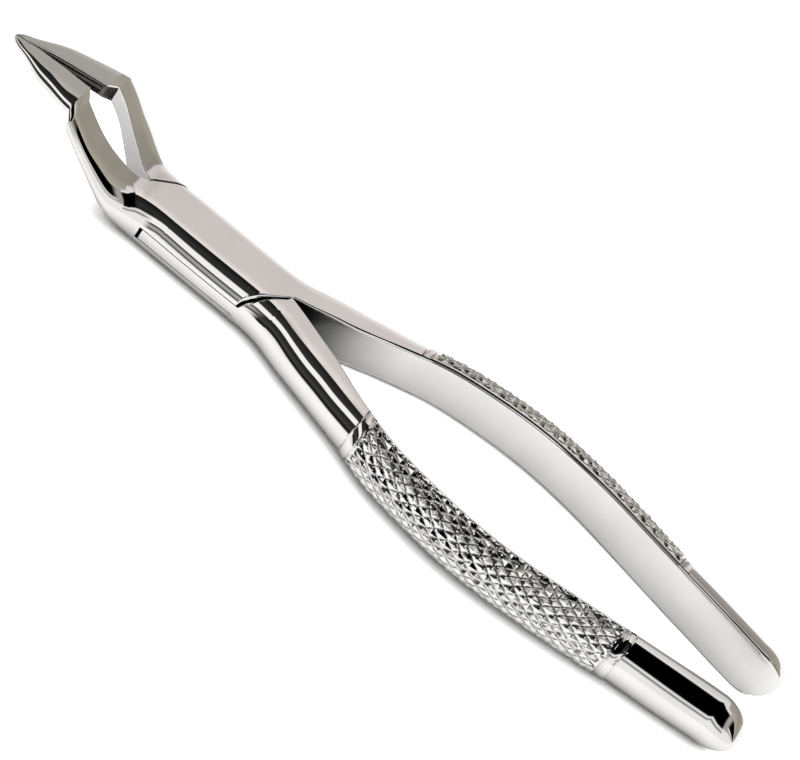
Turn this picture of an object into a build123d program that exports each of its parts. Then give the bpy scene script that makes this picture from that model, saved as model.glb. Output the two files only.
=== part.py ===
from build123d import *
import math
import os

# Extraction forceps with a box joint and raised bayonet beaks, shown closed.
# Frame, in millimetres: +X runs along the tool to the handle ends and the beaks point along -X.
# +Y is the side of the box half's handle, +Z is up along the pivot axis.
# The origin is on the pivot axis at the bottom face of the joint.

# Joint
JOINT_HEIGHT = 9.6
MID = JOINT_HEIGHT / 2
JOINT_FLAT = 2.9          # half width of the flat top and bottom of the joint
JOINT_BULGE = 4.5         # how far the rounded sides stand out beyond the flats
CROTCH_X = 16.3           # where the halves part, in front of and behind the pivot
FRONT_SHOULDER_X = 8.0    # where each shoulder reaches the side of the joint
REAR_SHOULDER_X = 9.5
SIDE_Y = JOINT_FLAT + JOINT_BULGE
REACH_Y = 14.0            # beyond the widest point of the joint
CROTCH_GAP = 0.1          # each half's distance from the centre plane at a crotch
SHOULDER_GAP = 0.6        # along X, between the shoulders of the two halves
SLOT_HEIGHT = 2.6
TONGUE_HEIGHT = 2.25
SLOT_END_X = 16.0         # where a slot end wall starts, on the centre line
SLOT_SIDE_X = 12.0        # where it comes out at the side
TONGUE_END_GAP = 0.7
PIN_RADIUS = 2.4
PIN_RUNNING_CLEARANCE = 0.05

# Bevel along the inner face's edges: narrow at the joint and the neck, wider along the handles.
NARROW_BEVEL = 0.12
HANDLE_BEVEL = 0.6
FULL_BEVEL_X = 34.6

# The beak on the box half is set further out than the one on the tongue half.
BOX_HEEL_SHIFT = 0.9
TONGUE_HEEL_SHIFT = -0.9
NECK_FOOT, HEEL, TIP = 18.0, 32.6, 50.2
# The box half's neck is this much thicker on its inner face, at the first stations of NECK.
BOX_NECK_FILL = (1.2, 0.8, 0.2)

# Sections of the two limbs. Each row is: distance from the pivot, gap from the centre plane
# to the inner face, height of the middle above MID, half height, width of the flat top, bulge.
BEAK = [
    (50.2, 0.10, 10.90, 0.25, 0.10, 0.25),
    (49.6, 0.11, 11.00, 0.50, 0.32, 0.73),
    (48.0, 0.15, 11.15, 0.66, 0.74, 1.28),
    (45.6, 0.30, 11.50, 0.88, 1.33, 1.80),
    (42.0, 0.70, 11.80, 1.30, 2.05, 2.70),
    (38.6, 1.00, 12.05, 1.55, 2.36, 3.20),
    (35.0, 1.35, 12.40, 1.60, 2.25, 4.00),
    (32.6, 1.60, 12.65, 1.70, 2.00, 4.50),
]
NECK = [
    (31.2, 4.30, 11.10, 2.00, 2.40, 3.10),
    (28.1, 4.20, 8.80, 2.05, 2.50, 3.40),
    (24.6, 3.30, 6.00, 2.30, 2.70, 4.00),
    (21.2, 2.20, 3.40, 2.80, 2.80, 4.90),
    (18.6, 1.15, 1.50, 3.40, 2.90, 5.30),
    (16.3, 0.10, 0.50, 4.20, 2.90, 5.40),
]
BLOCK_FRONT = [(16.3, 0, 0.50, 4.20, 2.90, 5.40), (14.0, 0, 0.20, 4.60, 2.90, 4.85)]
BLOCK_MIDDLE = [(11.0, 0, 0, MID, JOINT_FLAT, JOINT_BULGE)]
BLOCK_REAR = [(14.0, 0, 0, MID, 2.90, 4.80), (16.3, 0, 0, MID, 2.90, 5.30)]
SHANK = [
    (16.3, 0.10, 0.00, 4.80, 2.90, 5.30),
    (20.6, 1.50, 0.00, 4.80, 2.80, 5.50),
    (24.1, 2.80, 0.00, 4.80, 2.60, 5.50),
    (27.6, 4.00, -0.05, 4.80, 2.30, 5.60),
    (31.1, 5.40, -0.05, 4.80, 1.90, 5.60),
    (34.6, 7.00, -0.10, 4.80, 1.40, 5.50),
    (39.6, 9.10, -0.10, 4.85, 1.00, 5.20),
]
GRIP = [
    (39.6, 9.10, -0.10, 4.90, 1.00, 5.60),
    (45.0, 11.10, -0.10, 4.95, 1.00, 5.75),
    (52.0, 12.60, -0.10, 5.00, 1.00, 5.95),
    (59.0, 13.50, -0.10, 5.05, 1.00, 6.10),
    (65.9, 13.90, -0.20, 5.10, 1.00, 6.20),
    (72.9, 13.70, -0.35, 5.15, 1.00, 6.20),
    (79.9, 13.00, -0.50, 5.25, 1.00, 6.15),
    (86.8, 11.95, -0.70, 5.35, 1.00, 6.10),
    (93.8, 10.75, -0.90, 5.45, 0.80, 6.20),
    (100.4, 9.60, -1.05, 5.50, 0.50, 6.40),
]
POD = [
    (100.4, 9.55, -1.05, 5.50, 0.40, 5.95),
    (107.8, 8.35, -1.20, 5.55, 0.40, 6.20),
    (114.7, 7.15, -1.35, 5.55, 0.40, 6.35),
    (118.6, 6.55, -1.45, 5.50, 0.40, 6.30),
]
POD_END = 125.2
POD_END_STEPS = 9
# Hollow of a beak's inner face: distance from the pivot, depth, share of the beak's height.
HOLLOW = [(48.3, 0.12, 0.45), (45.0, 0.55, 0.62), (41.0, 1.00, 0.70), (37.0, 1.30, 0.74), (33.6, 1.40, 0.76)]


def section_plane(x):
    return Plane(origin=(x, 0, MID), x_dir=(0, 1, 0), z_dir=(1, 0, 0))


def bevel_at(x, half_height):
    grown = min(1, max(0, (x - CROTCH_X) / (FULL_BEVEL_X - CROTCH_X)))
    wanted = NARROW_BEVEL + (HANDLE_BEVEL - NARROW_BEVEL) * grown
    return min(wanted, half_height / 3)


def limb_section(x, gap, middle, half_height, flat, bulge):
    """D-shaped face at X = x: bevelled flat inner face, flat top and bottom, half-ellipse outside."""
    bevel = min(bevel_at(x, half_height), flat * 0.8)
    edge = gap + flat
    low, high = middle - half_height, middle + half_height
    corners = [
        (edge, high),
        (gap + bevel, high),
        (gap, high - bevel),
        (gap, low + bevel),
        (gap + bevel, low),
        (edge, low),
    ]
    inside = [Line(start, end) for start, end in zip(corners, corners[1:])]
    outer = EllipticalCenterArc((edge, middle), bulge, half_height, -90, arc_size=180)
    return section_plane(x) * make_face([*inside, outer])


def block_section(x, gap, middle, half_height, flat, bulge):
    """Full-width face of the joint at X = x, flat above and below with half-ellipse sides."""
    low, high = middle - half_height, middle + half_height
    outline = [
        Line((-flat, low), (flat, low)),
        EllipticalCenterArc((flat, middle), bulge, half_height, -90, arc_size=180),
        Line((flat, high), (-flat, high)),
        EllipticalCenterArc((-flat, middle), bulge, half_height, 90, arc_size=180),
    ]
    return section_plane(x) * make_face(outline)


def warped(distance, heel_shift):
    """A station's distance once the heel is moved and the neck foot and tip stay put."""
    if distance <= NECK_FOOT or distance >= TIP:
        return distance
    if distance <= HEEL:
        return distance + heel_shift * (distance - NECK_FOOT) / (HEEL - NECK_FOOT)
    return distance + heel_shift * (TIP - distance) / (TIP - HEEL)


def limb(stations, direction, heel_shift=0.0, ruled=False):
    rows = [(direction * warped(row[0], heel_shift), *row[1:]) for row in stations]
    return loft([limb_section(*row) for row in rows], ruled=ruled)


def beak_hollow(heel_shift):
    """The scooped flute in a beak's inner face."""
    faces = []
    for distance, depth, share in HOLLOW:
        near, far = next((a, b) for a, b in zip(BEAK, BEAK[1:]) if a[0] >= distance >= b[0])
        part_way = (near[0] - distance) / (near[0] - far[0])
        gap, middle, half_height = (a + (b - a) * part_way for a, b in zip(near[1:4], far[1:4]))
        plane = section_plane(-warped(distance, heel_shift))
        faces.append(plane * Pos(gap, middle) * Ellipse(depth, half_height * share))
    return loft(faces)


def filled_neck(fill):
    """Stations of a neck with its inner face moved towards the centre plane."""
    moved = [(row[0], row[1] - extra, *row[2:4], row[4] + extra, row[5]) for row, extra in zip(NECK, fill)]
    return moved + NECK[len(fill):]


def front_limb(heel_shift, neck_fill=()):
    """Beak, heel and neck on the +Y side, forward of the joint."""
    stations = filled_neck(neck_fill)
    beak = limb(BEAK, -1, heel_shift)
    heel = limb([BEAK[-1], stations[0]], -1, heel_shift, ruled=True)
    neck = limb(stations, -1, heel_shift)
    return beak + heel + neck - beak_hollow(heel_shift)


def pod_end():
    """Stations of a handle's domed end, shrinking on a quarter ellipse towards its middle."""
    start, gap, middle, half_height, flat, bulge = POD[-1]
    rows = [POD[-1]]
    for step in range(1, POD_END_STEPS):
        turn = math.radians(90 * step / POD_END_STEPS)
        size = math.cos(turn)
        width = math.sqrt(size)
        inset = (1 - width) * (flat + bulge) / 3
        along = start + (POD_END - start) * math.sin(turn)
        rows.append((along, gap + inset, middle, half_height * size, flat * width, bulge * width))
    return rows


def rear_limb():
    """Handle on the +Y side, behind the joint: shank, raised grip band and smooth end."""
    return limb(SHANK, 1) + limb(GRIP, 1) + limb(POD, 1) + limb(pod_end(), 1, ruled=True)


def block():
    """The solid bar of the joint, before it is shared out between the two halves."""
    front = [block_section(-row[0], *row[1:]) for row in BLOCK_FRONT + BLOCK_MIDDLE]
    rear = [block_section(row[0], *row[1:]) for row in BLOCK_MIDDLE + BLOCK_REAR]
    return loft(front + rear, ruled=True)


def prism(points, low=-2 * JOINT_HEIGHT, high=3 * JOINT_HEIGHT):
    """Upright prism on a plan outline, from Z = low to Z = high."""
    face = make_face(Polyline(*points, close=True))
    return Pos(0, 0, low) * extrude(face, high - low)


def shoulder_x(y, side_x):
    """How far ahead of the pivot the shoulder line is at a distance y from the centre plane."""
    return CROTCH_X - (CROTCH_X - side_x) * y / SIDE_Y


def cheek_prism():
    """Plan region of the joint that belongs to the box half."""
    return prism([
        (-CROTCH_X, -REACH_Y),
        (-CROTCH_X, 0),
        (-shoulder_x(REACH_Y, FRONT_SHOULDER_X), REACH_Y),
        (CROTCH_X, REACH_Y),
        (CROTCH_X, 0),
        (shoulder_x(REACH_Y, REAR_SHOULDER_X), -REACH_Y),
    ])


def shoulder_prism(side_x):
    """Plan region on the +Y side, forward of a shoulder line, that belongs to the tongue half."""
    start_y = SHOULDER_GAP * SIDE_Y / (CROTCH_X - side_x)
    return prism([
        (-CROTCH_X, start_y),
        (-CROTCH_X, REACH_Y),
        (-shoulder_x(REACH_Y, side_x) - SHOULDER_GAP, REACH_Y),
    ])


def channel(end_gap, height):
    """Level plate between the two slot end walls, its ends set in by end_gap along X."""
    start, side = SLOT_END_X - end_gap, SLOT_SIDE_X - end_gap
    outer = side - (start - side) * (REACH_Y - SIDE_Y) / SIDE_Y
    half = [(-CROTCH_X, REACH_Y), (-CROTCH_X, CROTCH_GAP), (-start, 0), (-outer, -REACH_Y)]
    other_half = [(-x, -y) for x, y in half]
    return prism(half + other_half, MID - height / 2, MID + height / 2)


def half_turn(shape):
    return Rotation(0, 0, 180) * shape


def pin(radius):
    return Pos(0, 0, JOINT_HEIGHT / 2) * Cylinder(radius, JOINT_HEIGHT)


def box_half():
    """Near beak, both cheeks with the slot between them, and the far handle, in one piece."""
    cheeks = block() & cheek_prism()
    beak_side = mirror(front_limb(BOX_HEEL_SHIFT, BOX_NECK_FILL), about=Plane.XZ)
    whole = cheeks + beak_side + rear_limb()
    return whole - channel(0, SLOT_HEIGHT) - pin(PIN_RADIUS)


def tongue_half():
    """Far beak, the thin tongue that passes through the slot, and the near handle."""
    bar = block()
    front_shoulder = bar & shoulder_prism(FRONT_SHOULDER_X)
    rear_shoulder = bar & half_turn(shoulder_prism(REAR_SHOULDER_X))
    tongue = bar & channel(TONGUE_END_GAP, TONGUE_HEIGHT)
    handle_side = mirror(rear_limb(), about=Plane.XZ)
    whole = front_shoulder + rear_shoulder + tongue + front_limb(TONGUE_HEEL_SHIFT) + handle_side
    return whole - pin(PIN_RADIUS + PIN_RUNNING_CLEARANCE)


os.makedirs("parts", exist_ok=True)
for name, shape in {
    "box_half": box_half(),
    "tongue_half": tongue_half(),
    "joint_pin": pin(PIN_RADIUS),
}.items():
    export_step(shape, f"parts/{name}.step")
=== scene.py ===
import math

import bmesh
import bpy
import numpy as np
from mathutils import Euler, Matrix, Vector


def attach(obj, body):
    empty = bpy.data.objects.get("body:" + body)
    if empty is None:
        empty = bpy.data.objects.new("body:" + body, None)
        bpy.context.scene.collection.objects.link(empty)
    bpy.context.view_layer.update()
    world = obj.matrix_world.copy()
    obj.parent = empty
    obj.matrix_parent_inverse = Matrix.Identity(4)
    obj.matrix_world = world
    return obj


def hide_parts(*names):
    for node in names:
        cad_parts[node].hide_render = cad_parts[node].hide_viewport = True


# Extraction forceps: mirror-polished steel halves with knurled grips, joined by a box joint.
# Tables are in millimetres, as in the CAD model, and become metres when a mesh is made.

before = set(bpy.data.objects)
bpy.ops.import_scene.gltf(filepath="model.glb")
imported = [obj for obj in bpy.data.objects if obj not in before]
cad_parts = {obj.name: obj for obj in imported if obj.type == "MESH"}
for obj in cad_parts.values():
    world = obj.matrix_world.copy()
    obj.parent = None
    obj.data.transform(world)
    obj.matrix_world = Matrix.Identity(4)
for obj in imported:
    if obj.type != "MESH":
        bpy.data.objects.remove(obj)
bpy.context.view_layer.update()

MM = 0.001

# ---------------------------------------------------------------- dimensions

MID = 4.8             # height of the joint's middle; the whole joint is twice as high
JOINT_FLAT, JOINT_BULGE = 2.9, 4.5
SIDE_Y = JOINT_FLAT + JOINT_BULGE
CROTCH_X = 16.3       # where the halves part, in front of and behind the pivot
CROTCH_GAP = 0.1
FRONT_SHOULDER_X, REAR_SHOULDER_X = 8.0, 9.5
SHOULDER_GAP = 0.6    # along X, between the shoulders of the two halves
SLOT_HEIGHT, TONGUE_HEIGHT = 2.6, 2.25
SLOT_END_X, SLOT_SIDE_X = 16.0, 12.0
TONGUE_END_GAP = 0.7
PLATE_INSET = 0.02    # of the tongue's plate, inside the joint's rounded sides
PLATE_HIDDEN = 0.9    # share of the joint's width that the plate keeps under its own shoulder
PIN_RADIUS = 2.4
PIN_CLEARANCE = 0.05
PIN_EDGE = 0.004      # broken edge at the pin's ends
HOLE_LOW, HOLE_HIGH = -5, 15     # the pin hole's tool, well past the joint
NARROW_BEVEL, HANDLE_BEVEL, FULL_BEVEL_X = 0.3, 0.75, 34.6
FRONT_LIP, REAR_LIP = 0.15, 0.8      # rounded lips along the shoulders
LIP_GROWTH = 0.6                     # along X, over which a lip grows from nothing
LIP_ROUNDNESS = 0.9                  # of every lip, from 0 for a flat bevel to 1 for a full round
BOX_HEEL_SHIFT, TONGUE_HEEL_SHIFT = 0.9, -0.9
NECK_FOOT, HEEL, NECK_TOP, TIP = 18.0, 32.6, 31.2, 50.2
BOX_NECK_FILL = (1.2, 0.8, 0.2)      # extra thickness inside the box half's neck
SHANK_END, GRIP_END, POD_ROUND, POD_END = 39.6, 100.4, 118.6, 125.2
KNURL_START, KNURL_END = 41.9, 97.9
KNURL_LENGTH, KNURL_WIDTH, KNURL_DEPTH = 3.0, 1.95, 0.48
KNURL_FADE = 0.5      # along X, at both ends of the knurling
FACE_MARGIN, FACE_FADE = 0.1, 0.4    # plain strip beside the inner face, and the fade after it
CROSS_CUT = 0.06      # height left by the shallower grooves, as a share of the depth

# Rows: distance from the pivot, gap from the centre plane, middle above MID, half height,
# width of the flat top, bulge of the rounded outside.
BEAK = [
    (50.2, 0.10, 10.90, 0.25, 0.10, 0.25),
    (49.6, 0.11, 11.00, 0.50, 0.32, 0.73),
    (48.0, 0.15, 11.15, 0.66, 0.74, 1.28),
    (45.6, 0.30, 11.50, 0.88, 1.33, 1.80),
    (42.0, 0.70, 11.80, 1.30, 2.05, 2.70),
    (38.6, 1.00, 12.05, 1.55, 2.36, 3.20),
    (35.0, 1.35, 12.40, 1.60, 2.25, 4.00),
    (32.6, 1.60, 12.65, 1.70, 2.00, 4.50),
]
NECK = [
    (31.2, 4.30, 11.10, 2.00, 2.40, 3.10),
    (28.1, 4.20, 8.80, 2.05, 2.50, 3.40),
    (24.6, 3.30, 6.00, 2.30, 2.70, 4.00),
    (21.2, 2.20, 3.40, 2.80, 2.80, 4.90),
    (18.6, 1.15, 1.50, 3.40, 2.90, 5.30),
    (16.3, 0.10, 0.50, 4.20, 2.85, 5.40),
]
# The joint's rows start with X itself, and have no gap.
JOINT = [
    (-14.0, 0, 0.20, 4.60, 2.90, 4.85),
    (-11.0, 0, 0.00, 4.80, 2.90, 4.50),
    (-8.0, 0, 0.00, 4.80, 2.90, 4.50),
    (8.0, 0, 0.00, 4.80, 2.90, 4.50),
    (11.0, 0, 0.00, 4.80, 2.90, 4.50),
    (14.0, 0, 0.00, 4.80, 2.90, 4.80),
]
SHANK = [
    (16.3, 0.10, 0.00, 4.80, 2.85, 5.30),
    (20.6, 1.50, 0.00, 4.80, 2.80, 5.50),
    (24.1, 2.80, 0.00, 4.80, 2.60, 5.50),
    (27.6, 4.00, -0.05, 4.80, 2.30, 5.60),
    (31.1, 5.40, -0.05, 4.80, 1.90, 5.60),
    (34.6, 7.00, -0.10, 4.80, 1.40, 5.50),
    (39.6, 9.10, -0.10, 4.85, 1.00, 5.20),
]
GRIP = [
    (39.6, 9.10, -0.10, 4.90, 1.00, 5.60),
    (45.0, 11.10, -0.10, 4.95, 1.00, 5.75),
    (52.0, 12.60, -0.10, 5.00, 1.00, 5.95),
    (59.0, 13.50, -0.10, 5.05, 1.00, 6.10),
    (65.9, 13.90, -0.20, 5.10, 1.00, 6.20),
    (72.9, 13.70, -0.35, 5.15, 1.00, 6.20),
    (79.9, 13.00, -0.50, 5.25, 1.00, 6.15),
    (86.8, 11.95, -0.70, 5.35, 1.00, 6.10),
    (93.8, 10.75, -0.90, 5.45, 0.80, 6.20),
    (100.4, 9.60, -1.05, 5.50, 0.50, 6.40),
]
POD = [
    (100.4, 9.55, -1.05, 5.50, 0.40, 5.95),
    (107.8, 8.35, -1.20, 5.55, 0.40, 6.20),
    (114.7, 7.15, -1.35, 5.55, 0.40, 6.35),
    (118.6, 6.55, -1.45, 5.50, 0.40, 6.30),
]
# Hollow of a beak's inner face: distance from the pivot, depth, share of the beak's height.
HOLLOW = [(48.6, 0.0, 0.40), (48.3, 0.12, 0.45), (45.0, 0.55, 0.62), (41.0, 1.00, 0.70),
          (37.0, 1.30, 0.74), (33.6, 1.40, 0.76), (33.4, 0.0, 0.76)]
# Offsets of the collars from the grip's envelope: X, offset.
COLLARS = [(39.6, -0.38), (39.9, -0.10), (40.2, -0.04), (41.2, -0.04), (41.45, -0.10), (41.6, -0.34),
           (41.75, -0.34), (41.9, 0.0), (97.9, 0.0), (98.0, -0.34), (98.12, -0.34), (98.25, -0.06),
           (98.4, -0.06), (98.55, -0.3), (98.7, -0.3), (98.85, -0.14), (99.8, -0.18), (99.95, -0.12),
           (100.05, -0.12), (100.2, -0.36), (100.3, -0.36), (100.4, -0.28)]

# Spacing along X of the outlines that a half is skinned over.
FRONT_STEP, JOINT_STEP, SHANK_STEP, KNURL_STEP, POD_STEP = 0.35, 0.6, 0.4, 0.25, 0.5
PLATE_END_STEP, PLATE_STEP = 0.25, 0.4
TIP_PLACES = np.array([0, 0.03, 0.1, 0.2, 0.35, 0.5])     # from the tip
BEYOND_TIP = 0.7      # where the even spacing takes over
SHOULDER_ROWS = 32
DOME_ROWS = 40
STEP_WIDTH = 0.02     # length along X of the steps at the ends of a grip

# Points of each outline: steps across the top, down an inner face and round its lip.
ACROSS, FACE, LIP = 72, 12, 6
LIP_STEPS = LIP - 1
SIDE_POINTS = FACE + 1 + 2 * LIP_STEPS
QUARTER = np.linspace(0, math.pi / 2, 240)
PIN_POINTS = 96
PLATE_HEIGHTS, PLATE_ACROSS = 9, 12
UNCUT = 1e3           # a limit too far out to cut anything
SHARP_ANGLE = math.radians(30)

# ---------------------------------------------------------------- camera

camera = bpy.data.objects.new("camera", bpy.data.cameras.new("camera"))
bpy.context.collection.objects.link(camera)
bpy.context.scene.camera = camera
camera.location = Vector((88.9, -597.96, 578.35)) * MM
camera.rotation_euler = Euler([math.radians(a) for a in (40.441, -25.422, 31.411)], "XYZ")
camera.data.sensor_width = 36.0
camera.data.lens = 213.2
camera.data.clip_start, camera.data.clip_end = 0.05, 20.0


# ---------------------------------------------------------------- sections

def spline(places, rows):
    """Natural cubic spline through rows of values, as a function of the place."""
    xs, ys = np.array(places, float), np.array(rows, float)
    spans = np.diff(xs)
    matrix, right = np.eye(len(xs)), np.zeros_like(ys)
    for i in range(1, len(xs) - 1):
        matrix[i, i - 1:i + 2] = spans[i - 1], 2 * (spans[i - 1] + spans[i]), spans[i]
        right[i] = 6 * ((ys[i + 1] - ys[i]) / spans[i] - (ys[i] - ys[i - 1]) / spans[i - 1])
    bend = np.linalg.solve(matrix, right)

    def value(x):
        i = min(max(int(np.searchsorted(xs, x)) - 1, 0), len(spans) - 1)
        a, b = (xs[i + 1] - x) / spans[i], (x - xs[i]) / spans[i]
        curve = ((a ** 3 - a) * bend[i] + (b ** 3 - b) * bend[i + 1]) * spans[i] ** 2 / 6
        return a * ys[i] + b * ys[i + 1] + curve

    return value


def warped(distance, shift):
    """A front station's distance once the heel is moved and the neck foot and tip stay put."""
    if distance <= NECK_FOOT or distance >= TIP:
        return distance
    if distance <= HEEL:
        return distance + shift * (distance - NECK_FOOT) / (HEEL - NECK_FOOT)
    return distance + shift * (TIP - distance) / (TIP - HEEL)


def with_edge(row):
    """Gap, middle, half height, edge of the flat top and bulge of a table row."""
    _, gap, middle, half, flat, bulge = row
    return gap, middle, half, gap + flat, bulge


def side_curves(shift, fill=()):
    """One function of X for each stretch of a side, giving gap, middle, half, edge and bulge."""
    extra = list(fill) + [0] * (len(NECK) - len(fill))
    neck_rows = [(r[0], r[1] - e, *r[2:4], r[4] + e, r[5]) for r, e in zip(NECK, extra)]
    beak = spline([-warped(r[0], shift) for r in BEAK], [with_edge(r) for r in BEAK])
    heel_rows = [BEAK[-1], neck_rows[0]]
    heel = spline([-warped(r[0], shift) for r in heel_rows], [with_edge(r) for r in heel_rows])
    body_rows = [(-warped(r[0], shift), *r[1:]) for r in neck_rows] + JOINT + SHANK
    body = spline([r[0] for r in body_rows], [with_edge(r)[1:] for r in body_rows])
    neck_gap = spline([-warped(r[0], shift) for r in neck_rows], [[r[1]] for r in neck_rows])
    shank_gap = spline([r[0] for r in SHANK], [[r[1]] for r in SHANK])
    grip = spline([r[0] for r in GRIP], [with_edge(r) for r in GRIP])
    pod = spline([r[0] for r in POD], [with_edge(r) for r in POD])

    def dome(x):
        _, gap, middle, half, flat, bulge = POD[-1]
        size = math.sqrt(max(0.0, 1 - ((x - POD_ROUND) / (POD_END - POD_ROUND)) ** 2))
        width = math.sqrt(size)
        gap += (1 - width) * (flat + bulge) / 3
        return gap, middle, half * size, gap + flat * width, bulge * width

    return {
        "beak": beak,
        "heel": heel,
        "neck": lambda x: (neck_gap(x)[0], *body(x)),
        "joint": lambda x: (0.0, *body(x)),
        "shank": lambda x: (shank_gap(x)[0], *body(x)),
        "grip": grip,
        "pod": pod,
        "dome": dome,
    }


def top_profile(half, edge, bulge):
    """The whole top outline from side to side, as Y, height and length along it."""
    y = np.concatenate([-edge - bulge * np.cos(QUARTER), edge + bulge * np.cos(QUARTER[::-1])])
    z = np.concatenate([half * np.sin(QUARTER), half * np.sin(QUARTER[::-1])])
    lengths = np.concatenate([[0], np.cumsum(np.hypot(np.diff(y), np.diff(z)))])
    return y, z, lengths


def height_at(y, half, edge, bulge):
    out = min(1.0, max(0.0, abs(y) - edge) / max(bulge, 1e-9))
    return half * math.sqrt(1 - out * out)


def lip(start, end, corner):
    """Points between start and end of a rounded edge."""
    middle = (np.array(start) + np.array(end)) / 2
    pull = middle + (np.array(corner) - middle) * LIP_ROUNDNESS
    way = np.linspace(0, 1, LIP + 1)[1:-1, None]
    return (1 - way) ** 2 * start + 2 * way * (1 - way) * pull + way ** 2 * end


def ring(x, section, low, high, bevel, scoop, relief):
    """Closed outline of one half at X = x, between Y = low and Y = high, as points (Y, Z).

    The outline is cut flat at low and high where they fall inside the section. A cut face has
    rounded lips of size bevel, and is hollowed by scoop, a depth and a share of the height.
    """
    _, middle, half, edge, bulge = section
    full = edge + bulge
    low, high = max(low, -full), min(high, full)
    low_bevel = min(bevel, 0.5 * height_at(low, half, edge, bulge), 0.4 * (high - low))
    high_bevel = min(bevel, 0.5 * height_at(high, half, edge, bulge), 0.4 * (high - low))
    profile_y, profile_z, lengths = top_profile(half, edge, bulge)
    first, last = np.interp([low + low_bevel, high - high_bevel], profile_y, lengths)
    if low <= -full:
        first = 0.0
    if high >= full:
        last = lengths[-1]
    along = np.linspace(first, last, ACROSS + 1)
    top = np.stack([np.interp(along, lengths, profile_y), np.interp(along, lengths, profile_z)], 1)
    bottom = top * (1, -1)
    if relief is not None:
        out = np.maximum(0, np.abs(top[:, 0]) - edge) / max(bulge, 1e-9) ** 2 * np.sign(top[:, 0])
        normal = np.stack([out, top[:, 1] / max(half, 1e-9) ** 2], 1)
        normal /= np.maximum(np.linalg.norm(normal, axis=1, keepdims=True), 1e-12)
        if high >= full:
            around, from_lip = lengths[-1] - along, along - first
        else:
            around, from_lip = along, last - along
        top = top + normal * relief(x, around, from_lip)[:, None]
        bottom = bottom + normal * (1, -1) * relief(x, -around, from_lip)[:, None]

    def cut(reach, cut_bevel, outward, chain_end):
        """Points from the top chain's end round the lips and down the cut face."""
        if abs(reach) >= full:
            return np.tile(chain_end, (SIDE_POINTS, 1))
        at_cut = max(0.0, height_at(reach, half, edge, bulge) - cut_bevel)
        inset = reach - outward * cut_bevel
        top_start = np.array((inset, height_at(inset, half, edge, bulge)))
        top_end = np.array((reach, at_cut))
        upper = lip(top_start, top_end, (top_end[0], top_start[1]))
        z = np.linspace(at_cut, -at_cut, FACE + 1)
        depth, share = scoop
        bite = depth * np.sqrt(np.maximum(0, 1 - (z / max(share * half, 1e-9)) ** 2))
        face = np.stack([reach - outward * bite, z], 1)
        return np.concatenate([upper, face, upper[::-1] * (1, -1)])

    right = cut(high, high_bevel, 1, top[-1])
    left = cut(low, low_bevel, -1, top[0])[::-1]
    outline = np.concatenate([top, right, bottom[::-1], left])
    return outline + (0, MID + middle)


def scatter(a, b, seed):
    """A fixed scattered value from 0 to 1 for each knurl cell."""
    value = np.sin(12.9898 * a + 78.233 * b + 37.719 * seed) * 43758.5453
    return value - np.floor(value)


def grip_relief(x, around, from_lip):
    """Offset of the grip's surface from its envelope: collars, and knurling between them."""
    places, offsets = zip(*COLLARS)
    offset = np.full(len(around), np.interp(x, places, offsets))
    fade = np.clip(min(x - KNURL_START, KNURL_END - x) / KNURL_FADE, 0, 1)
    fade = fade * np.clip((from_lip - FACE_MARGIN) / FACE_FADE, 0, 1)
    if not fade.any():
        return offset
    # A slow wander of the grooves, and each diamond's own height and peak, make the knurl uneven.
    wobble = 0.04 * np.sin(0.9 * x + 0.7 * around) + 0.03 * np.sin(2.3 * x - 1.1 * around)
    a = x / KNURL_LENGTH + around / KNURL_WIDTH + wobble
    b = x / KNURL_LENGTH - around / KNURL_WIDTH + 0.7 * wobble
    height, peak_a, peak_b = (scatter(np.floor(a), np.floor(b), seed) for seed in (0, 1, 2))
    height = 0.82 + 0.18 * height
    peak_a, peak_b = 0.38 + 0.24 * peak_a, 0.38 + 0.24 * peak_b
    a, b = a % 1, b % 1
    across_a = np.minimum(a / peak_a, (1 - a) / (1 - peak_a))
    across_b = np.minimum(b / peak_b, (1 - b) / (1 - peak_b))
    raised = np.clip(np.minimum(across_a, CROSS_CUT + (1 - CROSS_CUT) * across_b), 0, 1) * height
    return offset - KNURL_DEPTH * (1 - raised) * fade


def hollow_at(x, shift):
    places = [-warped(r[0], shift) for r in HOLLOW]
    return (float(np.interp(x, places, [r[1] for r in HOLLOW], left=0, right=0)),
            float(np.interp(x, places, [r[2] for r in HOLLOW])))


def bevel_at(x):
    grown = min(1, max(0, (x - CROTCH_X) / (FULL_BEVEL_X - CROTCH_X)))
    return NARROW_BEVEL + (HANDLE_BEVEL - NARROW_BEVEL) * grown


def shoulder_y(x, side_x):
    """Distance from the centre plane of the shoulder line, at a distance x ahead of the pivot."""
    return SIDE_Y * (CROTCH_X - x) / (CROTCH_X - side_x)


def steps(start, end, size):
    return np.linspace(start, end, max(2, int(round(abs(end - start) / size)) + 1))


# ---------------------------------------------------------------- materials

# Painted shade in the knurling's grooves, by how hollow the surface is there, from hollow to flat.
GROOVE_PAINTED_SHADE = [(0.42, 0.02), (0.455, 0.04), (0.48, 0.45), (0.493, 1.0)]
# Painted shade of the handles' inner faces by X, darkest just behind the crotch, and the X that the ramp's
# end stands for.
INNER_PAINTED_SHADE = [(0, 1.0), (15.5, 1.0), (16.0, 0.03), (20.0, 0.05), (24.5, 0.24), (30.0, 0.6), (38.0, 0.93),
                (46.0, 1.0)]
SHADE_REACH = 130.0


def material(name):
    made = bpy.data.materials.new(name)
    made.use_nodes = True
    nodes, links = made.node_tree.nodes, made.node_tree.links
    shader = nodes["Principled BSDF"]
    shader.inputs["Metallic"].default_value = 1.0
    return made, nodes, links, shader


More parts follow.
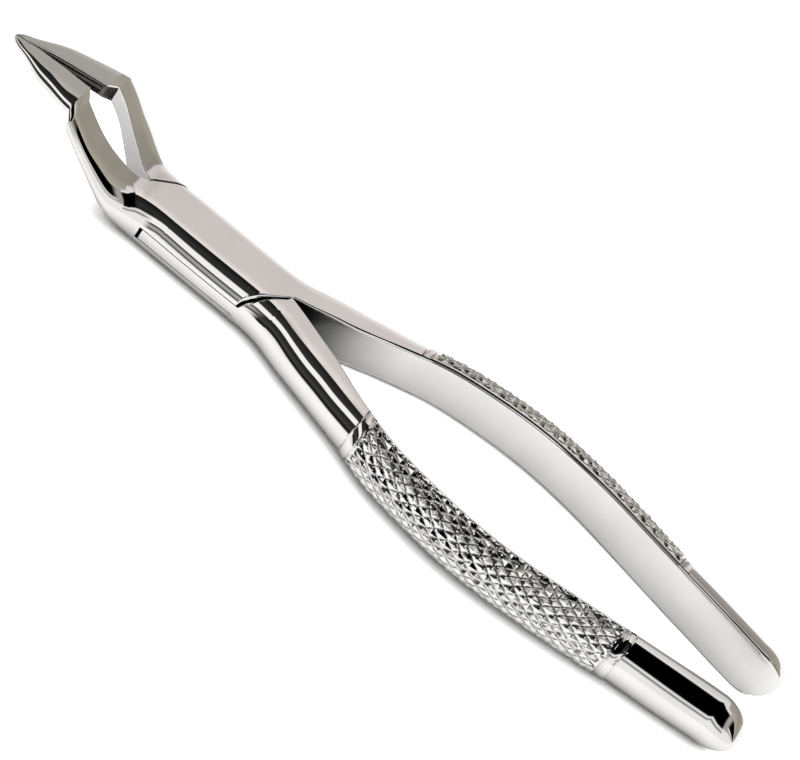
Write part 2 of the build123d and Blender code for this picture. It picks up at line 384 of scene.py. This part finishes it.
def noise(nodes, links, scale, detail, stretch=(1, 1, 1)):
    """Noise over the object's own coordinates, drawn out along its length by stretch."""
    place = nodes.new("ShaderNodeTexCoord")
    mapping = nodes.new("ShaderNodeMapping")
    mapping.inputs["Scale"].default_value = stretch
    texture = nodes.new("ShaderNodeTexNoise")
    texture.inputs["Scale"].default_value = scale
    texture.inputs["Detail"].default_value = detail
    links.new(place.outputs["Object"], mapping.inputs["Vector"])
    links.new(mapping.outputs["Vector"], texture.inputs["Vector"])
    return texture.outputs["Fac"]


def ramp(nodes, links, source, stops):
    """Colour ramp through stops of a position and a colour, or a grey given as one number."""
    node = nodes.new("ShaderNodeValToRGB")
    elements = node.color_ramp.elements
    elements.remove(elements[1])
    for i, (position, color) in enumerate(stops):
        element = elements.new(position) if i else elements[0]
        element.position = position
        element.color = (*color, 1) if len(color) == 3 else (color[0],) * 3 + (1,)
    links.new(source, node.inputs["Fac"])
    return node.outputs["Color"]


def bump(nodes, links, shader, source, strength, distance):
    node = nodes.new("ShaderNodeBump")
    node.inputs["Strength"].default_value = strength
    node.inputs["Distance"].default_value = distance
    links.new(source, node.inputs["Height"])
    links.new(node.outputs["Normal"], shader.inputs["Normal"])


def steel(name, base, rough, streak, scratch):
    """Polished steel: cloudy tone, streaky roughness and fine lengthwise lines.

    rough is the least and the most roughness, streak the scale of the streaks, and scratch the
    strength of the lines.
    """
    made, nodes, links, shader = material(name)
    low, high = [tuple(c * f for c in base) for f in (0.94, 1.0)]
    cloud = noise(nodes, links, 90.0, 2.0)
    links.new(ramp(nodes, links, cloud, [(0.35, low), (0.65, high)]), shader.inputs["Base Color"])
    lines = noise(nodes, links, streak, 6.0, (0.06, 1.0, 1.0))
    roughness = ramp(nodes, links, lines, [(0.3, (rough[0],)), (0.75, (rough[1],))])
    links.new(roughness, shader.inputs["Roughness"])
    fine = noise(nodes, links, streak * 2, 3.0, (0.03, 1.0, 1.0))
    bump(nodes, links, shader, fine, scratch, 0.00002)
    return made


def tint(made, shade):
    """Multiplies a material's base colour by a shade."""
    nodes, links = made.node_tree.nodes, made.node_tree.links
    base = nodes["Principled BSDF"].inputs["Base Color"]
    mix = nodes.new("ShaderNodeMix")
    mix.data_type, mix.blend_type = "RGBA", "MULTIPLY"
    mix.inputs["Factor"].default_value = 1.0
    links.new(base.links[0].from_socket, mix.inputs[6])
    links.new(shade, mix.inputs[7])
    links.new(mix.outputs[2], base)


def knurled_steel(name):
    """Knurling, with painted shade darkening its grooves."""
    made = steel(name, (0.92, 0.91, 0.89), (0.04, 0.10), 900.0, 0.04)
    nodes, links = made.node_tree.nodes, made.node_tree.links
    hollow = nodes.new("ShaderNodeNewGeometry").outputs["Pointiness"]
    # Painted shade: the base colour is darkened in the concave grooves.
    tint(made, ramp(nodes, links, hollow, [(x, (v,)) for x, v in GROOVE_PAINTED_SHADE]))
    return made


def inner_steel(name):
    """Inner faces of the handles, with painted shade darkening them towards the joint, by distance along X.
    """
    made = steel(name, (0.88, 0.87, 0.86), (0.10, 0.17), 1500.0, 0.08)
    nodes, links = made.node_tree.nodes, made.node_tree.links
    place = nodes.new("ShaderNodeTexCoord")
    split = nodes.new("ShaderNodeSeparateXYZ")
    links.new(place.outputs["Object"], split.inputs["Vector"])
    share = nodes.new("ShaderNodeMath")
    share.operation = "MULTIPLY"
    share.inputs[1].default_value = 1 / (SHADE_REACH * MM)
    links.new(split.outputs["X"], share.inputs[0])
    # Painted shade: the base colour darkens towards the crotch, where the handles shadow each other.
    tint(made, ramp(nodes, links, share.outputs[0], [(x / SHADE_REACH, (v,)) for x, v in INNER_PAINTED_SHADE]))
    return made


polished = steel("polished_steel", (0.87, 0.85, 0.83), (0.02, 0.06), 700.0, 0.03)
satin = inner_steel("satin_steel")
knurled = knurled_steel("knurled_steel")
# Near-black steel for the beaks' hollows and the joint's cut faces: its dark colour is partly a duller
# machined finish and partly painted shade for the shadowed gaps and hollows.
scooped_shaded = steel("scooped_shaded_steel", (0.16, 0.145, 0.135), (0.16, 0.34), 1800.0, 0.5)
FINISHES = [polished, satin, knurled, scooped_shaded]
STEEL, SATIN, KNURL, SCOOPED_SHADED = range(len(FINISHES))

# ---------------------------------------------------------------- meshes


def new_object(name, bm, finishes):
    mesh = bpy.data.meshes.new(name)
    bm.to_mesh(mesh)
    bm.free()
    for finish in finishes:
        mesh.materials.append(finish)
    obj = bpy.data.objects.new(name, mesh)
    bpy.context.collection.objects.link(obj)
    return obj


def skin(name, rings, zones):
    """Closed mesh through a list of outlines, with a material zone per row and column."""
    bm = bmesh.new()
    grid = [[bm.verts.new((x * MM, y * MM, z * MM)) for y, z in points] for x, points in rings]
    count = len(grid[0])
    for i, (here, there) in enumerate(zip(grid, grid[1:])):
        for j in range(count):
            k = (j + 1) % count
            face = bm.faces.new((here[j], here[k], there[k], there[j]))
            face.material_index = zones(i, j)
    for ends in (grid[0], grid[-1]):
        centre = bm.verts.new(sum((v.co for v in ends), Vector()) / count)
        for j in range(count):
            bm.faces.new((ends[j], ends[(j + 1) % count], centre))
    bmesh.ops.remove_doubles(bm, verts=bm.verts, dist=2e-7)
    bmesh.ops.dissolve_degenerate(bm, edges=bm.edges, dist=1e-8)
    bmesh.ops.recalc_face_normals(bm, faces=bm.faces)
    return new_object(name, bm, FINISHES)


def prism(name, points, low, high):
    """Upright prism on a plan outline."""
    bm = bmesh.new()
    base = [bm.verts.new((x * MM, y * MM, low * MM)) for x, y in points]
    top = [bm.verts.new((x * MM, y * MM, high * MM)) for x, y in points]
    bm.faces.new(base)
    bm.faces.new(top)
    for j in range(len(points)):
        k = (j + 1) % len(points)
        bm.faces.new((base[j], base[k], top[k], top[j]))
    bmesh.ops.recalc_face_normals(bm, faces=bm.faces)
    return new_object(name, bm, FINISHES)


def combine(obj, tool, operation):
    """Applies a boolean and removes the tool."""
    modifier = obj.modifiers.new("combine", "BOOLEAN")
    modifier.operation = operation
    modifier.object = tool
    modifier.solver = "EXACT"
    evaluated = obj.evaluated_get(bpy.context.evaluated_depsgraph_get())
    mesh = bpy.data.meshes.new_from_object(evaluated)
    obj.modifiers.clear()
    obj.data = mesh
    bpy.data.objects.remove(tool)


def circle(radius):
    turns = [2 * math.pi * i / PIN_POINTS for i in range(PIN_POINTS)]
    return [(radius * math.cos(turn), radius * math.sin(turn)) for turn in turns]


def zone_finder(rows):
    """Material zone of the quad between row i and row i + 1, at column j."""
    right_start = ACROSS
    left_start = 2 * (ACROSS + 1) + SIDE_POINTS - 1

    def zone(i, j):
        kind, x = rows[i]
        right_face = right_start + LIP_STEPS < j < right_start + LIP_STEPS + FACE + 1
        left_face = left_start + LIP_STEPS < j < left_start + LIP_STEPS + FACE + 1
        if right_face or left_face:
            # Cut faces of the beaks, heels and joint take the near-black steel, whose dark colour is partly
            # painted shade.
            return SCOOPED_SHADED if kind in ("beak", "heel", "joint") else SATIN
        if kind == "grip" and KNURL_START - 0.1 < x < KNURL_END + 0.1:
            return KNURL
        return STEEL

    return zone


def front_rows(shift):
    heel, neck_top = -warped(HEEL, shift), -warped(NECK_TOP, shift)
    rows = [("beak", x) for x in -TIP + TIP_PLACES]
    rows += [("beak", x) for x in steps(-TIP + BEYOND_TIP, heel, FRONT_STEP)]
    rows += [("heel", x) for x in steps(heel, neck_top, FRONT_STEP)]
    rows += [("neck", x) for x in steps(neck_top, -CROTCH_X, FRONT_STEP)]
    return rows


def rear_rows():
    rows = [("shank", x) for x in steps(CROTCH_X, SHANK_END, SHANK_STEP)]
    collars = [x for x, _ in COLLARS]
    rows += [("grip", max(x, SHANK_END + STEP_WIDTH)) for x in collars if x < KNURL_START]
    rows += [("grip", x) for x in steps(KNURL_START, KNURL_END, KNURL_STEP)]
    rows += [("grip", x) for x in collars if x > KNURL_END]
    rows += [("pod", x) for x in steps(GRIP_END + STEP_WIDTH, POD_ROUND, POD_STEP)]
    turns = np.radians(np.linspace(0, 90, DOME_ROWS))[1:]
    rows += [("dome", POD_ROUND + (POD_END - POD_ROUND) * math.sin(a)) for a in turns]
    return rows


def shoulder_lip(x):
    """Width of the rounded lip along a shoulder; the rear one narrows towards the crotch."""
    if x < REAR_SHOULDER_X:
        return FRONT_LIP * min(1.0, max(0.0, -x - FRONT_SHOULDER_X) / LIP_GROWTH)
    width = REAR_LIP * (1.25 - 0.75 * (x - REAR_SHOULDER_X) / (CROTCH_X - REAR_SHOULDER_X))
    return width * min(1.0, (x - REAR_SHOULDER_X) / LIP_GROWTH)


def near_shoulder(start, end):
    """Places from a shoulder's side corner at start to its end, closer together near the corner."""
    return start + (end - start) * np.linspace(0, 1, SHOULDER_ROWS) ** 2


def make_rings(rows, shift, limits, fill=()):
    """Outlines for rows of one half; limits gives the lowest and highest Y at a row."""
    curves = side_curves(shift, fill)
    rings = []
    for kind, x in rows:
        section = curves[kind](x)
        low, high = limits(kind, x, section[0])
        bevel = shoulder_lip(x) if kind == "joint" else bevel_at(x)
        scoop = hollow_at(x, shift) if kind == "beak" else (0.0, 1.0)
        relief = grip_relief if kind == "grip" else None
        rings.append((x, ring(x, section, low, high, bevel, scoop, relief)))
    return rings


def box_limits(kind, x, gap):
    if kind in ("beak", "heel", "neck"):
        return -UNCUT, -gap
    if kind != "joint":
        return gap, UNCUT
    if x < -FRONT_SHOULDER_X:
        return -UNCUT, shoulder_y(-x, FRONT_SHOULDER_X)
    if x > REAR_SHOULDER_X:
        return -shoulder_y(x, REAR_SHOULDER_X), UNCUT
    return -UNCUT, UNCUT


def tongue_front_limits(kind, x, gap):
    if kind == "joint":
        return shoulder_y(-x - SHOULDER_GAP, FRONT_SHOULDER_X), UNCUT
    return gap, UNCUT


def tongue_rear_limits(kind, x, gap):
    if kind == "joint":
        return -UNCUT, -shoulder_y(x - SHOULDER_GAP, REAR_SHOULDER_X)
    return -UNCUT, -gap


def channel_outline(end_gap):
    """Plan outline of the slot, or of the tongue with its ends set in."""
    start, side = SLOT_END_X - end_gap, SLOT_SIDE_X - end_gap
    reach = 14.0
    outer = side - (start - side) * (reach - SIDE_Y) / SIDE_Y
    half = [(-CROTCH_X, reach), (-CROTCH_X, CROTCH_GAP), (-start, 0), (-outer, -reach)]
    return half + [(-x, -y) for x, y in half]


def tongue_plate():
    """The thin plate of the tongue half, just inside the joint's rounded sides."""
    body = side_curves(TONGUE_HEEL_SHIFT)["joint"]
    start, side = SLOT_END_X - TONGUE_END_GAP, SLOT_SIDE_X - TONGUE_END_GAP
    thick = TONGUE_HEIGHT / 2
    heights = np.linspace(thick, -thick, PLATE_HEIGHTS)
    rings = []
    places = [steps(-start, -side, PLATE_END_STEP), steps(-side, side, PLATE_STEP)[1:],
              steps(side, start, PLATE_END_STEP)[1:]]
    for x in np.concatenate(places):
        _, middle, half, edge, bulge = body(x)
        bulging = bulge * np.sqrt(1 - ((heights - middle) / half) ** 2)
        far = edge + bulging - PLATE_INSET
        near = -far
        if x < -side:
            near = np.maximum(near, -SIDE_Y * (x + start) / (start - side))
        if x > side:
            far = np.minimum(far, SIDE_Y * (start - x) / (start - side))
        if x < -FRONT_SHOULDER_X - 1:
            far = np.minimum(far, (edge + bulge) * PLATE_HIDDEN)
        right = np.stack([far, heights], 1)
        left = np.stack([near, heights], 1)[::-1]
        level = np.full(PLATE_ACROSS - 2, thick)
        top = np.stack([np.linspace(near[0], far[0], PLATE_ACROSS)[1:-1], level], 1)
        bottom = np.stack([np.linspace(far[-1], near[-1], PLATE_ACROSS)[1:-1], -level], 1)
        rings.append((x, np.concatenate([top, right, bottom, left]) + (0, MID)))
    return skin("tongue_plate", rings, lambda i, j: STEEL)


def soften(obj):
    """Smooth shading with sharp edges at corners, and flat facets in the knurling."""
    bm = bmesh.new()
    bm.from_mesh(obj.data)
    for face in bm.faces:
        face.smooth = face.material_index != KNURL
    for edge in bm.edges:
        edge.smooth = not edge.is_manifold or edge.calc_face_angle(0) < SHARP_ANGLE
    bm.to_mesh(obj.data)
    bm.free()


def build_box_half():
    joint_rows = [("joint", x) for x in near_shoulder(-FRONT_SHOULDER_X, -CROTCH_X)[-2::-1]]
    joint_rows += [("joint", x) for x in steps(-FRONT_SHOULDER_X, REAR_SHOULDER_X, JOINT_STEP)[1:]]
    joint_rows += [("joint", x) for x in near_shoulder(REAR_SHOULDER_X, CROTCH_X)[1:-1]]
    rows = front_rows(BOX_HEEL_SHIFT) + joint_rows + rear_rows()
    rings = make_rings(rows, BOX_HEEL_SHIFT, box_limits, BOX_NECK_FILL)
    half = skin("box_half_body", rings, zone_finder(rows))
    low, high = MID - SLOT_HEIGHT / 2, MID + SLOT_HEIGHT / 2
    combine(half, prism("slot_tool", channel_outline(0), low, high), "DIFFERENCE")
    combine(half, prism("hole_tool", circle(PIN_RADIUS), HOLE_LOW, HOLE_HIGH), "DIFFERENCE")
    soften(half)
    return half


def build_tongue_half():
    front_joint = near_shoulder(-FRONT_SHOULDER_X - SHOULDER_GAP, -CROTCH_X)[-2::-1]
    rows = front_rows(TONGUE_HEEL_SHIFT) + [("joint", x) for x in front_joint]
    rings = make_rings(rows, TONGUE_HEEL_SHIFT, tongue_front_limits)
    half = skin("tongue_half_body", rings, zone_finder(rows))
    rear_joint = [("joint", x) for x in near_shoulder(REAR_SHOULDER_X + SHOULDER_GAP, CROTCH_X)[:-1]]
    rows = rear_joint + rear_rows()
    rings = make_rings(rows, BOX_HEEL_SHIFT, tongue_rear_limits)
    rear = skin("tongue_rear", rings, zone_finder(rows))
    plate = tongue_plate()
    hole = circle(PIN_RADIUS + PIN_CLEARANCE)
    combine(plate, prism("hole_tool", hole, HOLE_LOW, HOLE_HIGH), "DIFFERENCE")
    combine(half, plate, "UNION")
    combine(half, rear, "UNION")
    soften(half)
    return half


def build_pin():
    """The rivet, with its ends dressed level with the joint."""
    bm = bmesh.new()
    height = 2 * MID
    loops = []
    for radius, z in ((PIN_RADIUS - PIN_EDGE, 0), (PIN_RADIUS, PIN_EDGE), (PIN_RADIUS, MID),
                      (PIN_RADIUS, height - PIN_EDGE), (PIN_RADIUS - PIN_EDGE, height)):
        loops.append([bm.verts.new((x * MM, y * MM, z * MM)) for x, y in circle(radius)])
    for here, there in zip(loops, loops[1:]):
        for j in range(len(here)):
            k = (j + 1) % len(here)
            bm.faces.new((here[j], here[k], there[k], there[j]))
    bm.faces.new(loops[0])
    bm.faces.new(loops[-1])
    bmesh.ops.recalc_face_normals(bm, faces=bm.faces)
    pin = new_object("joint_pin_body", bm, FINISHES)
    soften(pin)
    return pin


# ---------------------------------------------------------------- the object

box_half = build_box_half()
tongue_half = build_tongue_half()
joint_pin = build_pin()
for piece, body, node, slot in ((box_half, "box_half", "box_half", "box_half_steel"),
                                (tongue_half, "tongue_half", "tongue_half", "tongue_half_steel"),
                                (joint_pin, "box_half", "joint_pin", "pin_steel")):
    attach(piece, body)
    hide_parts(node)

# ---------------------------------------------------------------- table and light

# In metres. The joint's front and the handle ends touch the table, so it leans a little, and its
# height is zero at TABLE_X.
TABLE_TILT = 0.0165
TABLE_X = -0.012
TABLE_REACH = 3.0


def table_top(name, shade, drop):
    """Flat square table with a grey of one shade, drop below what touches it."""
    bm = bmesh.new()
    for x, y in ((-1, -1), (1, -1), (1, 1), (-1, 1)):
        x, y = x * TABLE_REACH, y * TABLE_REACH
        bm.verts.new((x, y, -TABLE_TILT * (x - TABLE_X) - drop))
    bm.faces.new(bm.verts)
    made = bpy.data.materials.new(name)
    made.use_nodes = True
    shader = made.node_tree.nodes["Principled BSDF"]
    shader.inputs["Base Color"].default_value = (shade, shade, shade, 1)
    shader.inputs["Roughness"].default_value = 0.9
    shader.inputs["Specular IOR Level"].default_value = 0.1
    obj = new_object(name, bm, [made])
    return obj


# The table is lit to pure white, and a greyer one just below it is what the steel mirrors.
white_table = table_top("white_table", 0.85, 0.00003)
white_table.visible_glossy = white_table.visible_diffuse = white_table.visible_shadow = False
mirrored_table = table_top("mirrored_table", 0.27, 0.00005)
mirrored_table.visible_camera = False

# The room as the steel sees it, by the angle from straight up towards the viewer's side (-Y).
# Ahead and overhead: brightness of the far wall, by that angle. Its colour changes along X.
FAR_WALL = [(-90, 1.35), (-72, 1.2), (-60, 1.0), (-45, 1.0), (-30, 1.2), (-18, 1.35), (-15, 1.45)]
FAR_COLOUR = [(-0.55, (0.43, 0.42, 0.39)), (-0.25, (0.44, 0.43, 0.40)),
              (-0.16, (0.69, 0.65, 0.63)), (-0.03, (0.71, 0.665, 0.65)), (0.05, (0.30, 0.285, 0.265)),
              (0.3, (0.31, 0.295, 0.255)), (0.7, (0.35, 0.33, 0.28))]
# Near side: dark ceiling, a strip window and darker shutters, by angle after the strip's slant.
# Each pattern's share, such as LEFT_SHARE, is by how far a direction leans along X, from -1 to 1.
NEAR_LEFT = [(-14, 0.006), (8, 0.02), (33, 0.035), (36, 1.05), (57, 1.05), (59, 0.02), (70, 0.025),
             (92, 0.06), (97, 0.012), (110, 0.02), (113, 0.95)]
LEFT_SHARE = [(-0.35, 1.0), (-0.2, 0.0)]
NEAR_MIDDLE = [(-12, 0.008), (5, 0.02), (20, 0.035), (31, 0.02), (36, 1.05), (57, 1.05), (59, 0.05),
               (64, 0.06), (67, 0.42), (77, 0.42), (80, 0.08), (84, 0.09), (88, 0.95)]
RIGHT_SHARE = [(-0.04, 0.0), (0.06, 1.0)]
NEAR_RIGHT = [(-33, 0.75), (-25, 0.9), (-22, 0.0), (32, 0.0), (36, 0.85), (41, 0.85), (44, 0.25), (48, 0.3),
              (53, 0.95)]
# Further towards +X the near side turns grey, and at the end it is dark again overhead.
FAR_RIGHT_SHARE = [(0.5, 0.0), (0.56, 1.0)]
NEAR_FAR_RIGHT = [(-30, (0.42, 0.41, 0.38)), (40, (0.42, 0.41, 0.38)), (50, 0.95)]
END_SHARE = [(0.66, 0.0), (0.74, 1.0)]
NEAR_END = [(-20, 0.0), (20, 0.0), (24, 0.8), (36, 0.4), (44, 0.95)]
# The strip's slant in degrees for each unit of lean, to the left and right of SLANT_FROM. To the
# right it stops growing after SLANT_REACH.
SLANT_FROM, SLANT_REACH = -0.1, 0.4
LEFT_SLANT, RIGHT_SLANT = 70.0, 40.0
LOWEST_ANGLE, ANGLE_SPAN = -90.0, 210.0     # that the ramps by angle cover
SEAM = [(-14.5, 0.0), (-13.0, 1.0)]     # from the far wall to the near side, by angle
# How far, in degrees, the dark ceiling comes over towards the far wall, and its share along X.
SIDE_REACH = 20.0
SIDE_SHARES = [(-0.42, 0.9), (-0.34, 0.0), (-0.04, 0.0), (0.06, 1.0), (0.28, 1.0), (0.36, 0.1)]


def mix_by(nodes, links, factor, low, high):
    node = nodes.new("ShaderNodeMix")
    node.data_type = "RGBA"
    links.new(factor, node.inputs["Factor"])
    links.new(low, node.inputs[6])
    links.new(high, node.inputs[7])
    return node.outputs[2]


def studio():
    """Room with a dark ceiling, a beige far wall and a slanting strip window near the viewer."""
    world = bpy.data.worlds.new("studio")
    bpy.context.scene.world = world
    world.use_nodes = True
    nodes, links = world.node_tree.nodes, world.node_tree.links
    place = nodes.new("ShaderNodeTexCoord")
    split = nodes.new("ShaderNodeSeparateXYZ")
    links.new(place.outputs["Generated"], split.inputs["Vector"])
    along = split.outputs["X"]

    def maths(operation, *values):
        node = nodes.new("ShaderNodeMath")
        node.operation = operation
        for socket, value in zip(node.inputs, values):
            if isinstance(value, (int, float)):
                socket.default_value = value
            else:
                links.new(value, socket)
        return node.outputs[0]

    def as_colour(value):
        return value if isinstance(value, tuple) else (value,) * 3

    def by_angle(angle, stops):
        """Ramp over an angle in degrees."""
        share = maths("DIVIDE", maths("SUBTRACT", angle, LOWEST_ANGLE), ANGLE_SPAN)
        return ramp(nodes, links, share, [((a - LOWEST_ANGLE) / ANGLE_SPAN, as_colour(v)) for a, v in stops])

    def by_along(stops):
        """Ramp over how far a direction leans along X, from -1 to 1."""
        share = maths("MULTIPLY_ADD", along, 0.5, 0.5)
        return ramp(nodes, links, share, [((x + 1) / 2, as_colour(v)) for x, v in stops])

    towards = maths("MULTIPLY", split.outputs["Y"], -1.0)
    angle = maths("MULTIPLY", maths("ARCTAN2", towards, split.outputs["Z"]), 180 / math.pi)
    offset = maths("SUBTRACT", along, SLANT_FROM)
    to_right = maths("MINIMUM", maths("MAXIMUM", offset, 0.0), SLANT_REACH)
    slant = maths("ADD", maths("MULTIPLY", maths("MINIMUM", offset, 0.0), LEFT_SLANT),
                  maths("MULTIPLY", to_right, RIGHT_SLANT))
    slanted = maths("SUBTRACT", angle, slant)
    near = by_angle(slanted, NEAR_MIDDLE)
    for direction, share, stops in ((slanted, LEFT_SHARE, NEAR_LEFT), (slanted, RIGHT_SHARE, NEAR_RIGHT),
                                    (angle, FAR_RIGHT_SHARE, NEAR_FAR_RIGHT), (angle, END_SHARE, NEAR_END)):
        near = mix_by(nodes, links, by_along(share), near, by_angle(direction, stops))
    wall = nodes.new("ShaderNodeMix")
    wall.data_type, wall.blend_type = "RGBA", "MULTIPLY"
    wall.inputs["Factor"].default_value = 1.0
    links.new(by_along(FAR_COLOUR), wall.inputs[6])
    links.new(by_angle(angle, FAR_WALL), wall.inputs[7])
    shifted = maths("MULTIPLY_ADD", by_along(SIDE_SHARES), SIDE_REACH, angle)
    edge = by_angle(shifted, SEAM)
    links.new(mix_by(nodes, links, edge, wall.outputs[2], near), nodes["Background"].inputs["Color"])
    nodes["Background"].inputs["Strength"].default_value = 1.0


studio()


def sun(name, direction, energy, angle):
    """Soft light from a direction, which the steel doesn't mirror."""
    data = bpy.data.lights.new(name, "SUN")
    data.energy = energy
    data.angle = math.radians(angle)
    obj = bpy.data.objects.new(name, data)
    bpy.context.collection.objects.link(obj)
    obj.rotation_mode = "QUATERNION"
    obj.rotation_quaternion = (-Vector(direction)).to_track_quat("-Z", "Y")
    obj.visible_glossy = False


sun("key", (0.1, 0.2, 1.0), 12.0, 110)

bpy.context.scene.view_settings.view_transform = "Standard"
